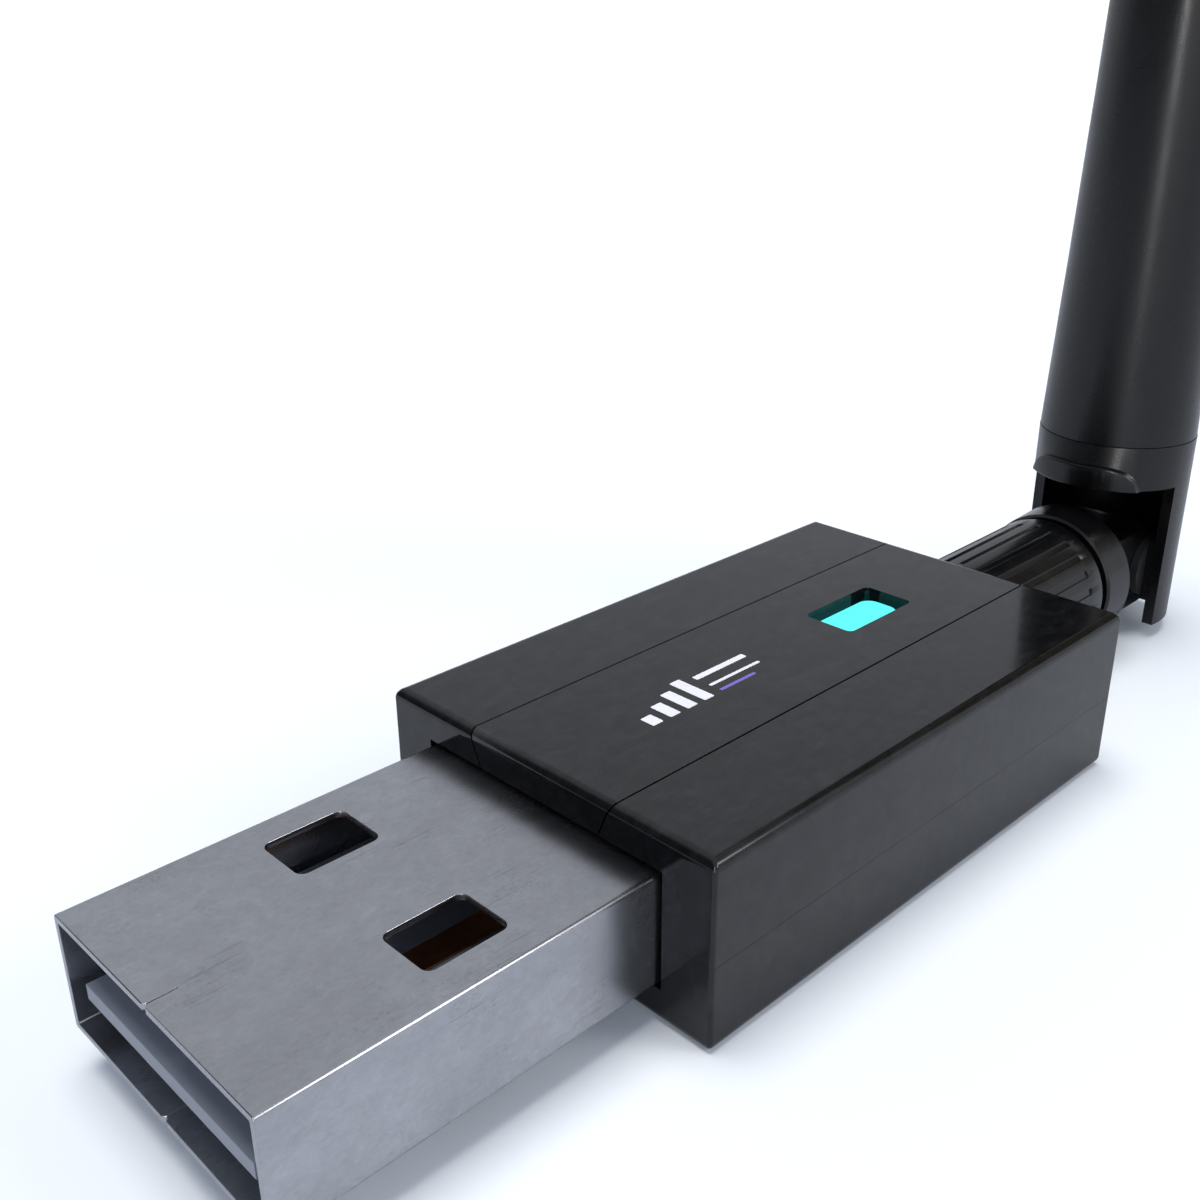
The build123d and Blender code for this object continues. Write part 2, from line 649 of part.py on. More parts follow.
# Barrel with the hinge lug moulded on its back.
with BuildPart() as swivel_barrel:
    with BuildSketch(Plane.XZ):
        with BuildLine():
            Polyline(
                (BARREL_X0, TAIL_R + RUNNING),
                (BARREL_X0, BARREL_R0 - 0.12),
                (BARREL_X0 + 0.12, BARREL_R0),
                (BARREL_X1 - 0.3, BARREL_R1),
                (BARREL_X1, BARREL_R1 - 0.3),
                (BARREL_X1, 0),
                (TAIL_END + 0.1, 0),
                (TAIL_END + 0.1, TAIL_R + RUNNING),
                (RING_X0 + RING_W, TAIL_R + RUNNING),
                (RING_X0 + RING_W, RING_OUT_R + RUNNING),
                (RING_X0, RING_OUT_R + RUNNING),
                (RING_X0, TAIL_R + RUNNING),
                close=True,
            )
        make_face()
    revolve(axis=Axis.X)
    with BuildSketch(Plane.XZ):
        with Locations((HINGE_X, 0)):
            Circle(LUG_R)
        with Locations(((BARREL_X1 - 0.1 + HINGE_X) / 2, 0)):
            Rectangle(HINGE_X - BARREL_X1 + 0.1, 2 * LUG_R)
    extrude(amount=LUG_HALF, both=True)
    with BuildSketch(Plane.XZ):
        with Locations((HINGE_X, 0)):
            Circle(PIN_R + RUNNING)
    extrude(amount=2 * LUG_HALF, both=True, mode=Mode.SUBTRACT)
    with BuildSketch(Plane.YZ.offset(TAIL_END)):
        Circle(COAX_R + RUNNING)
    extrude(amount=HINGE_X - 1.1 - TAIL_END, mode=Mode.SUBTRACT)
    with BuildSketch(Plane.XY):
        with Locations((HINGE_X - 2.1, 0)):
            Rectangle(2.0, 2 * (COAX_R + RUNNING))
    extrude(amount=2 * LUG_R, mode=Mode.SUBTRACT)
finish(swivel_barrel, "swivel_barrel")

# Short coax tail from the connector up through the lug's cable slot.
with BuildPart() as barrel_coax:
    with BuildLine():
        coax_run = Line((TAIL_END + 0.15, 0, 0), (HINGE_X - 2.95, 0, 0))
        coax_bend = TangentArc(coax_run @ 1, (HINGE_X - 2.05, 0, 0.9), tangent=coax_run % 1)
        Line(coax_bend @ 1, (HINGE_X - 2.05, 0, LUG_R - 0.1))
    with BuildSketch(Plane.YZ.offset(TAIL_END + 0.15)):
        Circle(COAX_R - 0.05)
    sweep()
finish(barrel_coax, "barrel_coax")

BOSS_Y = LUG_HALF + WASHER_T + 0.05

# Friction washers between the lug's cheeks and the fork's bosses.
with BuildPart() as friction_washers:
    for side in (1, -1):
        with BuildSketch(Plane.XZ.offset(-side * (LUG_HALF + 0.02))):
            with Locations((HINGE_X, 0)):
                Circle(WASHER_R)
                Circle(PIN_R, mode=Mode.SUBTRACT)
        extrude(amount=-side * WASHER_T)
finish(friction_washers, "friction_washers")

with BuildPart() as hinge_pin:
    with BuildSketch(Plane.XZ):
        with Locations((HINGE_X, 0)):
            Circle(PIN_R)
    extrude(amount=PIN_HALF, both=True)
    fillet(hinge_pin.edges().filter_by(GeomType.CIRCLE), 0.12)
finish(hinge_pin, "hinge_pin")

# Visor lip over the fork's mouth, proud of its round surface, with a blunt
# end each side and a softened outer edge.
with BuildPart() as visor_form:
    with BuildSketch(Plane.YZ.offset(HINGE_X - FORK_R - 1)):
        with BuildLine():
            Spline(
                (-VISOR_HALF, FORK_ROOF),
                (0, FORK_ROOF + VISOR_RISE),
                (VISOR_HALF, FORK_ROOF),
                tangents=[(0.2, 1), (0.2, -1)],
            )
            Line((VISOR_HALF, FORK_ROOF), (-VISOR_HALF, FORK_ROOF))
        make_face()
    extrude(amount=FORK_R)
    with BuildSketch(Plane.XY.offset(FORK_ROOF)):
        with Locations((HINGE_X, 0)):
            Circle(FORK_R + VISOR_OUT)
    extrude(amount=2 * VISOR_RISE, mode=Mode.INTERSECT)
    round_face = visor_form.faces().filter_by(GeomType.CYLINDER).sort_by(Axis.X)[0]
    fillet(round_face.edges(), VISOR_EDGE)

# Fork: hollow half-shell below the roof, open to the front and below, with
# square leg ends, blind pin bosses inside and a spigot for the radome on top.
with BuildPart() as antenna_fork:
    with BuildSketch(Plane.XY.offset(LEG_END_Z)):
        with Locations((HINGE_X, 0)):
            Circle(FORK_R)
    extrude(amount=FORK_TOP - LEG_END_Z)
    with BuildSketch(Plane.XY.offset(LEG_END_Z - 1)):
        with Locations((HINGE_X, 0)):
            Circle(FORK_BORE)
    extrude(amount=FORK_ROOF - LEG_END_Z + 1, mode=Mode.SUBTRACT)
    for side in (1, -1):
        with BuildSketch(Plane.XZ.offset(-side * BOSS_Y)):
            with Locations((HINGE_X, 0)):
                Circle(BOSS_R)
        extrude(amount=-side * (FORK_BORE + 0.04 - BOSS_Y))
    with BuildSketch(Plane.XY.offset(2 * LEG_END_Z)):
        with Locations((HINGE_X - FORK_FRONT - FORK_R, 0)):
            Rectangle(2 * FORK_R, 3 * FORK_R)
    extrude(amount=FORK_ROOF - 2 * LEG_END_Z, mode=Mode.SUBTRACT)
    with BuildSketch(Plane.XY.offset(BACK_WALL_Z)):
        with Locations((HINGE_X + FORK_REAR + FORK_R, 0)):
            Rectangle(2 * FORK_R, 3 * FORK_R)
    extrude(amount=LEG_END_Z - 1, mode=Mode.SUBTRACT)
    with BuildSketch(Plane.XZ):
        with Locations((HINGE_X, 0)):
            Circle(PIN_R)
    extrude(amount=PIN_HALF + 0.03, both=True, mode=Mode.SUBTRACT)
    add(visor_form.part)
    with BuildSketch(Plane.XY.offset(FORK_TOP)):
        with Locations((HINGE_X, 0)):
            Circle(SPIGOT_R)
    extrude(amount=SPIGOT_H)
    with BuildSketch(Plane.XY.offset(FORK_ROOF - 1)):
        with Locations((HINGE_X, 0)):
            Circle(COAX_R + RUNNING)
    extrude(amount=FORK_TOP + SPIGOT_H, mode=Mode.SUBTRACT)
finish(antenna_fork, "antenna_fork")

# ---- Antenna --------------------------------------------------------------

RADOME_Z0 = FORK_TOP + 0.01
RIM_CHAMFER = 0.03
RADOME_R0 = FORK_R - 0.02
MID_Z = 31.5
MID_BORE_R = 2.4
SOCKET_Z = FORK_TOP + SPIGOT_H + 0.1

# Radome: hollow whip whose taper eases off towards its rounded tip.
with BuildPart() as radome:
    with BuildSketch(HINGE_XZ):
        with BuildLine():
            Line((SPIGOT_R + 0.03, RADOME_Z0), (RADOME_R0 - RIM_CHAMFER, RADOME_Z0))
            Line((RADOME_R0 - RIM_CHAMFER, RADOME_Z0), (RADOME_R0, RADOME_Z0 + RIM_CHAMFER))
            skin = Spline(
                (RADOME_R0, RADOME_Z0 + RIM_CHAMFER),
                (RADOME_TIP_R, RADOME_TOP - RADOME_TIP_R),
                tangents=[(-0.041, 1), (-0.015, 1)],
            )
            ThreePointArc(
                skin @ 1,
                (RADOME_TIP_R * cos(radians(45)), RADOME_TOP - RADOME_TIP_R * (1 - sin(radians(45)))),
                (0, RADOME_TOP),
            )
            Line((0, RADOME_TOP), (0, RADOME_TOP - RADOME_TIP_R))
            Line((0, RADOME_TOP - RADOME_TIP_R), (RADOME_TIP_R - RADOME_WALL, RADOME_TOP - RADOME_TIP_R))
            Line((RADOME_TIP_R - RADOME_WALL, RADOME_TOP - RADOME_TIP_R), (MID_BORE_R, MID_Z))
            Line((MID_BORE_R, MID_Z), (SPIGOT_R - 0.15, SOCKET_Z))
            Line((SPIGOT_R - 0.15, SOCKET_Z), (SPIGOT_R + 0.03, SOCKET_Z))
            Line((SPIGOT_R + 0.03, SOCKET_Z), (SPIGOT_R + 0.03, RADOME_Z0))
        make_face()
    revolve(axis=ANTENNA_AXIS)
finish(radome, "radome")

SLEEVE_Z0 = 12.0
SLEEVE_L = 21.0
FEED_Z = SLEEVE_Z0 + SLEEVE_L + 1.5
RADIATOR_L = 28.0

with BuildPart() as antenna_coax:
    with BuildSketch(Plane.XY.offset(FORK_ROOF + 0.1)):
        with Locations((HINGE_X, 0)):
            Circle(COAX_R)
    extrude(amount=FEED_Z - FORK_ROOF - 0.1)
finish(antenna_coax, "antenna_coax")

with BuildPart() as dipole_sleeve:
    with BuildSketch(Plane.XY.offset(SLEEVE_Z0)):
        with Locations((HINGE_X, 0)):
            Circle(1.9)
            Circle(1.6, mode=Mode.SUBTRACT)
    extrude(amount=SLEEVE_L)
finish(dipole_sleeve, "dipole_sleeve")

with BuildPart() as dipole_radiator:
    with BuildSketch(Plane.XY.offset(FEED_Z)):
        with Locations((HINGE_X, 0)):
            Circle(0.45)
    extrude(amount=RADIATOR_L)
finish(dipole_radiator, "dipole_radiator")
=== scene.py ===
"""Looks for the USB Wi-Fi adapter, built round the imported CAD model.

Metres, in the CAD's frame: +X runs from the plug's mouth to the antenna, +Z is
up and the origin is on the plug's centre line at the case's front face.
"""

import json
import math

import bmesh
import bpy
from mathutils import Matrix, Quaternion, Vector


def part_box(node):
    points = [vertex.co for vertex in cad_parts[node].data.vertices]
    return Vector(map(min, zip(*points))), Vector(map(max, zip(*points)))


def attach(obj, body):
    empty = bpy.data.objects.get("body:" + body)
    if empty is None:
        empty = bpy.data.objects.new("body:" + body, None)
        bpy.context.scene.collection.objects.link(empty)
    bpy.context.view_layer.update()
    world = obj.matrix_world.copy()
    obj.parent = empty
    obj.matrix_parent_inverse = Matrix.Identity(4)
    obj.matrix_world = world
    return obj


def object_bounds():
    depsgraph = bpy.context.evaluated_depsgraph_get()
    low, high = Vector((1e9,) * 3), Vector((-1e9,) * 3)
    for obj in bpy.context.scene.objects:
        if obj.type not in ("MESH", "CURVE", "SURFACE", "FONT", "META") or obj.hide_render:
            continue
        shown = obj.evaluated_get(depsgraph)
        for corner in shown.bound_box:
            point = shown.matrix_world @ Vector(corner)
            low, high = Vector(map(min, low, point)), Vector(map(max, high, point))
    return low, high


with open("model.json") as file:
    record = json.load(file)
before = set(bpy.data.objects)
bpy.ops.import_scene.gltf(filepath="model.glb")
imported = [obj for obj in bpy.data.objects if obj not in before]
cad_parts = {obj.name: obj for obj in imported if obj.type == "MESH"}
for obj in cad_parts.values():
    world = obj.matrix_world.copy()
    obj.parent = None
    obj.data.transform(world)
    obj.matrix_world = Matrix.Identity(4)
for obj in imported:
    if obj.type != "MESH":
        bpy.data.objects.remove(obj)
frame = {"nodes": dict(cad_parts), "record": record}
cad_low, cad_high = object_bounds()
MM = 0.001
NODES = frame["nodes"]

# Sockets of a Mix node set to colours.
SHARE_INPUT = 0
FIRST_INPUT = 6
SECOND_INPUT = 7
MIX_OUTPUT = 2

# ---- Node helpers ---------------------------------------------------------


def as_colour(colour):
    """Opaque RGBA from RGB."""
    return (*colour, 1.0)


def scaled(colour, factor):
    """The colour made lighter or darker."""
    return tuple(factor * c for c in colour)


def new_tree(name):
    """An empty node material and its tree."""
    made = bpy.data.materials.new(name)
    made.use_nodes = True
    made.node_tree.nodes.clear()
    return made, made.node_tree


def node(tree, kind, values=None, **settings):
    """A node with its settings, and its inputs set or linked by name or number."""
    made = tree.nodes.new(kind)
    for key, value in settings.items():
        setattr(made, key, value)
    for key, value in (values or {}).items():
        if isinstance(value, bpy.types.NodeSocket):
            tree.links.new(value, made.inputs[key])
        else:
            made.inputs[key].default_value = value
    return made


def millimetres(tree, scale=(1, 1, 1)):
    """Object coordinates in millimetres, stretched by scale."""
    coordinates = node(tree, "ShaderNodeTexCoord")
    factors = [1000.0 * s for s in scale]
    return node(
        tree,
        "ShaderNodeVectorMath",
        {0: coordinates.outputs["Object"], 1: factors},
        operation="MULTIPLY",
    ).outputs[0]


def noise(tree, scale, size=1.0, detail=3.0, rough=0.55, warp=0.0):
    """Noise value; scale stretches the pattern, size is its frequency per millimetre."""
    return node(
        tree,
        "ShaderNodeTexNoise",
        {
            "Vector": millimetres(tree, scale),
            "Scale": size,
            "Detail": detail,
            "Roughness": rough,
            "Distortion": warp,
        },
    ).outputs["Fac"]


def ramp(tree, value, low, high, out_low=0.0, out_high=1.0):
    """value mapped from low..high to out_low..out_high, clamped."""
    return node(
        tree,
        "ShaderNodeMapRange",
        {0: value, 1: low, 2: high, 3: out_low, 4: out_high},
        clamp=True,
    ).outputs[0]


def maths(tree, operation, a, b):
    """One maths node."""
    return node(tree, "ShaderNodeMath", {0: a, 1: b}, operation=operation).outputs[0]


def blend_colour(tree, share, first, second):
    """Mix of two colours."""
    mixed = node(tree, "ShaderNodeMix", data_type="RGBA")
    for slot_number, value in ((SHARE_INPUT, share), (FIRST_INPUT, first), (SECOND_INPUT, second)):
        if isinstance(value, bpy.types.NodeSocket):
            tree.links.new(value, mixed.inputs[slot_number])
        else:
            plain = value if slot_number == SHARE_INPUT else as_colour(value)
            mixed.inputs[slot_number].default_value = plain
    return mixed.outputs[MIX_OUTPUT]


def bumped(tree, height, distance, strength=1.0):
    """Bump normal; distance in millimetres."""
    values = {"Height": height, "Distance": distance * MM, "Strength": strength}
    return node(tree, "ShaderNodeBump", values).outputs[0]


def finish_material(made, tree, values):
    """Principled surface with the given inputs."""
    surface = node(tree, "ShaderNodeBsdfPrincipled", values)
    node(tree, "ShaderNodeOutputMaterial", {"Surface": surface.outputs[0]})
    return made


# ---- Materials ------------------------------------------------------------

# Millimetres along X over which the tongue's colour darkens into painted shade inside the plug.
TONGUE_SHADE_SPAN = (-14.2, -11.0)


def gloss_black(name, base=(0.0040, 0.0041, 0.0045), rough=0.085):
    """Polished black moulding with smudges, wipe marks, dust, fine scratches and uneven shine."""
    made, tree = new_tree(name)
    smudge = noise(tree, (1, 1.5, 1), 0.55, 6, 0.66, 1.1)
    wipe = noise(tree, (0.5, 2.2, 2.2), 1.5, 5, 0.7, 0.8)
    dust = noise(tree, (1, 1, 1), 6.0, 3, 0.75)
    hairline = noise(tree, (0.12, 4.0, 4.0), 3.0, 3, 0.6, 0.35)
    film = maths(
        tree, "ADD",
        ramp(tree, smudge, 0.42, 0.66, 0, 0.04),
        ramp(tree, wipe, 0.46, 0.72, 0, 0.025),
    )
    haze = maths(
        tree, "ADD",
        maths(tree, "MULTIPLY", ramp(tree, smudge, 0.36, 0.68), ramp(tree, wipe, 0.34, 0.70)),
        maths(
            tree, "ADD",
            ramp(tree, dust, 0.62, 0.8, 0, 0.5),
            ramp(tree, hairline, 0.64, 0.74, 0, 0.3),
        ),
    )
    tint = blend_colour(tree, haze, base, scaled(base, 4.2))
    ripple = noise(tree, (1, 1, 1), 0.55, 2, 0.5)
    prints = noise(tree, (1, 1, 1), 1.3, 6, 0.7, 0.6)
    return finish_material(made, tree, {
        "Base Color": tint,
        "Roughness": maths(tree, "ADD", film, rough),
        "IOR": 1.5,
        "Specular IOR Level": ramp(tree, prints, 0.34, 0.66, 0.555, 0.43),
        "Normal": bumped(tree, ripple, 0.0012, 0.5),
    })


def satin_black(name, base=(0.0020, 0.0021, 0.0024), rough=0.33, grain=9.0, relief=0.008):
    """Satin black moulding with a fine even grain and soft rubbed patches."""
    made, tree = new_tree(name)
    fine = noise(tree, (1, 1, 1), grain, 3, 0.6)
    cloud = noise(tree, (1, 1, 0.5), 0.6, 4, 0.6, 0.5)
    dust = noise(tree, (1, 1, 1), 5.0, 3, 0.75)
    rubbed = maths(
        tree, "ADD",
        ramp(tree, cloud, 0.35, 0.7, 0, 0.5),
        ramp(tree, dust, 0.6, 0.8, 0, 0.5),
    )
    return finish_material(made, tree, {
        "Base Color": blend_colour(tree, rubbed, base, scaled(base, 2.6)),
        "Roughness": ramp(tree, cloud, 0.3, 0.7, rough - 0.04, rough + 0.05),
        "IOR": 1.5,
        "Normal": bumped(tree, fine, relief, 0.5),
    })


def worn_steel(name, base=(0.535, 0.545, 0.58), rough=0.25):
    """Worn steel sheet with a fine mottle, cloudy stains, scuffs and clusters of dark specks."""
    made, tree = new_tree(name)
    grain = noise(tree, (0.5, 1.2, 1.2), 6.0, 5, 0.75, 0.4)
    mottle = noise(tree, (0.8, 1, 1), 1.8, 6, 0.72, 0.8)
    cloud = noise(tree, (0.6, 1, 1), 0.4, 3, 0.55, 0.6)
    patch = noise(tree, (0.7, 1, 1), 0.6, 3, 0.6)
    speck = noise(tree, (0.8, 1, 1), 7.0, 4, 0.65)
    scratch = noise(tree, (0.05, 4.0, 4.0), 2.4, 2, 0.6, 0.3)
    scuffed = maths(
        tree, "MULTIPLY", ramp(tree, scratch, 0.60, 0.70), ramp(tree, patch, 0.52, 0.62)
    )
    pits = maths(tree, "MULTIPLY", ramp(tree, speck, 0.52, 0.72), ramp(tree, patch, 0.50, 0.66))
    tint = blend_colour(
        tree, ramp(tree, cloud, 0.35, 0.68), scaled(base, 0.90), scaled(base, 1.05)
    )
    for share, colour in (
        (ramp(tree, mottle, 0.38, 0.66, 0, 0.6), scaled(base, 0.76)),
        (ramp(tree, grain, 0.35, 0.75, 0, 0.45), scaled(base, 0.68)),
        (maths(tree, "MULTIPLY", pits, 0.42), (0.19, 0.195, 0.21)),
        (maths(tree, "MULTIPLY", scuffed, 0.3), (0.16, 0.165, 0.18)),
        (ramp(tree, speck, 0.70, 0.80, 0, 0.45), (0.12, 0.125, 0.135)),
    ):
        tint = blend_colour(tree, share, tint, colour)
    ripple = noise(tree, (0.6, 1, 1), 0.35, 1, 0.4)
    return finish_material(made, tree, {
        "Base Color": tint,
        "Metallic": 1.0,
        "Roughness": ramp(tree, cloud, 0.3, 0.7, rough, rough + 0.05),
        "Normal": bumped(tree, ripple, 0.002, 0.5),
    })


def plain_metal(name, base, rough=0.25, streaks=(0.2, 3, 3)):
    """Machined or drawn metal with turning lines."""
    made, tree = new_tree(name)
    lines = noise(tree, streaks, 6.0, 3, 0.6)
    cloud = noise(tree, (1, 1, 1), 0.8, 3, 0.6)
    tint = blend_colour(tree, ramp(tree, cloud, 0.35, 0.7), scaled(base, 0.75), base)
    return finish_material(made, tree, {
        "Base Color": tint,
        "Metallic": 1.0,
        "Roughness": ramp(tree, lines, 0.3, 0.7, rough, rough + 0.12),
        "Normal": bumped(tree, lines, 0.003, 0.5),
    })


def moulded(name, base, rough=0.5, grain=8.0, spread=0.2):
    """Plain moulded plastic, ceramic or resin with a fine grain."""
    made, tree = new_tree(name)
    fine = noise(tree, (1, 1, 1), grain, 3, 0.6)
    cloud = noise(tree, (1, 1, 1), 0.7, 3, 0.6, 0.3)
    tint = blend_colour(tree, ramp(tree, cloud, 0.35, 0.7), scaled(base, 1 - spread), base)
    return finish_material(made, tree, {
        "Base Color": tint,
        "Roughness": ramp(tree, fine, 0.3, 0.7, rough - 0.05, rough + 0.08),
        "Normal": bumped(tree, fine, 0.004, 0.5),
    })


def tongue_resin(name, front=(0.36, 0.39, 0.45), shaded_inner=(0.19, 0.21, 0.245)):
    """Blue-grey moulding with painted shade, darker where it goes into the plug."""
    made, tree = new_tree(name)
    along = node(tree, "ShaderNodeSeparateXYZ", {0: millimetres(tree)}).outputs[0]
    fine = noise(tree, (1, 1, 1), 8.0, 3, 0.6)
    # Painted shade: the colour darkens along X into the plug, with its edge jittered by fine noise.
    shade_depth = maths(tree, "ADD", ramp(tree, fine, 0.3, 0.7, -0.3, 0.3), along)
    tint = blend_colour(tree, ramp(tree, shade_depth, TONGUE_SHADE_SPAN[0], TONGUE_SHADE_SPAN[1]), front, shaded_inner)
    return finish_material(made, tree, {
        "Base Color": tint,
        "Roughness": ramp(tree, fine, 0.3, 0.7, 0.34, 0.46),
        "Normal": bumped(tree, fine, 0.002, 0.5),
    })


def lit_cyan(name):
    """Translucent key lit evenly from behind, with a soft uneven glow."""
    made, tree = new_tree(name)
    glow = noise(tree, (1, 1, 1), 0.6, 1, 0.4)
    seen = node(tree, "ShaderNodeLightPath").outputs["Is Camera Ray"]
    spill = ramp(tree, seen, 0, 1, 0.45, 1)
    return finish_material(made, tree, {
        "Base Color": as_colour((0.02, 0.10, 0.10)),
        "Roughness": 0.45,
        "Specular IOR Level": 0.2,
        "Emission Color": as_colour((0.105, 1.0, 0.985)),
        "Emission Strength": maths(tree, "MULTIPLY", ramp(tree, glow, 0.3, 0.7, 0.98, 1.05), spill),
    })


def board_mask(name):
    """Green solder mask with copper tracks and plated dots showing through."""
    made, tree = new_tree(name)
    place = millimetres(tree)
    cells = node(
        tree, "ShaderNodeTexVoronoi", {"Vector": place, "Scale": 0.9}, feature="DISTANCE_TO_EDGE"
    )
    dots = node(tree, "ShaderNodeTexVoronoi", {"Vector": place, "Scale": 1.7}, feature="F1")
    tracks = ramp(tree, cells.outputs["Distance"], 0.04, 0.06, 1, 0)
    vias = ramp(tree, dots.outputs["Distance"], 0.10, 0.12, 1, 0)
    masked = blend_colour(tree, tracks, (0.012, 0.075, 0.04), (0.03, 0.16, 0.07))
    tint = blend_colour(tree, vias, masked, (0.5, 0.42, 0.2))
    return finish_material(made, tree, {
        "Base Color": tint,
        "Metallic": maths(tree, "MULTIPLY", vias, 0.9),
        "Roughness": 0.35,
        "Normal": bumped(tree, tracks, 0.02, 0.6),
    })


LOOKS = {
    "case_black": gloss_black("gloss_black_plastic"),
    "plug_steel": worn_steel("worn_brushed_steel"),
    "insulator_grey": tongue_resin("blue_grey_insulator"),
    "contact_copper": plain_metal("copper_contact", (0.55, 0.24, 0.11), 0.3),
    "board_green": board_mask("solder_mask"),
    "chip_black": moulded("epoxy_package", (0.018, 0.018, 0.02), 0.55, 10),
    "can_metal": plain_metal("nickel_can", (0.55, 0.55, 0.52), 0.28),
    "ceramic_tan": moulded("fired_ceramic", (0.35, 0.24, 0.15), 0.5, 12),
    "led_white": moulded("clear_resin", (0.7, 0.85, 0.85), 0.2, 4),
    "dome_steel": plain_metal("spring_steel", (0.6, 0.6, 0.58), 0.2),
    "light_cyan": lit_cyan("lit_cyan_key"),
    "plunger_black": moulded("black_nylon", (0.03, 0.03, 0.033), 0.5),
    "gold_brass": plain_metal("gold_plated_brass", (0.78, 0.55, 0.22), 0.2, (3, 0.2, 0.2)),
    "ptfe_white": moulded("turned_ptfe", (0.75, 0.75, 0.73), 0.5),
    "nut_black": satin_black("satin_black_nut", rough=0.22, grain=5, relief=0.0015),
    "ring_steel": plain_metal("ring_steel", (0.5, 0.5, 0.5), 0.25, (3, 0.2, 3)),
    "antenna_black": satin_black("satin_black_plastic", rough=0.28),
    "washer_nylon": moulded("black_nylon_washer", (0.02, 0.02, 0.022), 0.5),
    "coax_black": moulded("dark_cable_jacket", (0.03, 0.022, 0.018), 0.4, 5),
    "raw_brass": plain_metal("drawn_brass", (0.66, 0.48, 0.2), 0.3, (3, 3, 0.2)),
}

# The barrel's collar is rubbed smoother than the rest of the antenna.
RUBBED = {"swivel_barrel": satin_black("rubbed_black_collar", rough=0.19, grain=5, relief=0.0015)}

for entry in frame["record"]["subparts"]:
    piece = NODES[entry["node"]]
    piece.data.materials.clear()
    piece.data.materials.append(RUBBED.get(entry["node"], LOOKS[entry["material_slot"]]))

# ---- Plain printed bars on the strip --------------------------------------

# Millimetres. A bar is its start and height, a rule its two ends, middle and width.
INK_T = 0.012
INK_CORNER = 0.06
BAR_W = 0.55
BAR_FOOT = -0.95
BARS = ((5.0, 0.7), (5.95, 1.1), (6.9, 1.5), (7.85, 1.9))
WHITE_RULES = ((8.9, 11.9, 0.55, 0.3), (8.9, 11.9, -0.25, 0.16))
ACCENT_RULES = ((8.9, 11.0, -0.8, 0.16),)


def printed(name, boxes, material):
    """Thin ink rectangles on the strip's top; boxes are x0, x1, y0, y1 in millimetres."""
    mesh = bpy.data.meshes.new(name)
    shape = bmesh.new()
    face_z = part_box("centre_strip")[1].z
    for x0, x1, y0, y1 in boxes:
        middle = ((x0 + x1) / 2 * MM, (y0 + y1) / 2 * MM, face_z + INK_T / 2 * MM)
        size = Matrix.Diagonal(((x1 - x0) * MM, (y1 - y0) * MM, INK_T * MM, 1))
        bmesh.ops.create_cube(shape, size=1.0, matrix=Matrix.Translation(middle) @ size)
    upright = [
        edge for edge in shape.edges
        if abs(edge.verts[0].co.z - edge.verts[1].co.z) > INK_T * MM / 2
    ]
    bmesh.ops.bevel(
        shape, geom=upright, offset=INK_CORNER * MM, segments=3, affect="EDGES", profile=0.5
    )
    shape.to_mesh(mesh)
    shape.free()
    mesh.materials.append(material)
    made = bpy.data.objects.new(name, mesh)
    bpy.context.scene.collection.objects.link(made)
    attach(made, "adapter")


def rule_boxes(rules):
    """Boxes of the rules."""
    return [(x0, x1, y - w / 2, y + w / 2) for x0, x1, y, w in rules]


white_ink = moulded("white_ink", (0.92, 0.92, 0.95), 0.45, 9, 0.06)
lavender_ink = moulded("lavender_ink", (0.22, 0.16, 0.58), 0.45, 9, 0.1)
bar_boxes = [(x, x + BAR_W, BAR_FOOT, BAR_FOOT + tall) for x, tall in BARS]
printed("print_bars", bar_boxes, white_ink)
printed("print_rules", rule_boxes(WHITE_RULES), white_ink)
printed("print_accent", rule_boxes(ACCENT_RULES), lavender_ink)

# ---- Softened edges on the CAD nodes --------------------------------------

EDGE_MM = {
    "centre_strip": 0.035,
    "usb_shell": 0.03,
    "usb_insulator": 0.03,
    "coupling_nut": 0.03,
    "antenna_fork": 0.05,
    "circuit_board": 0.03,
    "wifi_chip": 0.03,
    "chip_capacitors": 0.03,
    "usb_contacts": 0.02,
}
WELD_MM = 0.001
FLAT_ANGLE = math.radians(0.5)
SHARP_ANGLE = math.radians(35)


def soften(name, width):
    """Merge the tessellation into clean faces, then round the sharp edges by width mm."""
    piece = NODES[name]
    weld = piece.modifiers.new("weld", "WELD")
    weld.merge_threshold = WELD_MM * MM
    flat = piece.modifiers.new("flat", "DECIMATE")
    flat.decimate_type = "DISSOLVE"
    flat.angle_limit = FLAT_ANGLE
    bevel = piece.modifiers.new("bevel", "BEVEL")
    bevel.width = width * MM
    bevel.segments = 2
    bevel.limit_method = "ANGLE"
    bevel.angle_limit = SHARP_ANGLE
    normals = piece.modifiers.new("normals", "WEIGHTED_NORMAL")
    normals.keep_sharp = False
    normals.weight = 100
    for face in piece.data.polygons:
        face.use_smooth = True


for name, width in EDGE_MM.items():
    soften(name, width)

# ---- Stage, light and camera ----------------------------------------------

FLOOR_SIZE = 3.0
FLOOR_GAP = 0.02 * MM
FLOOR_SEEN = (0.90, 0.93, 0.96)
FLOOR_DARK = (0.53, 0.55, 0.59)
FLOOR_LIGHT = (0.57, 0.59, 0.63)
FLOOR_GLOW = (0.8, 0.88, 1.0)
FLOOR_GLOW_STRENGTH = 0.09


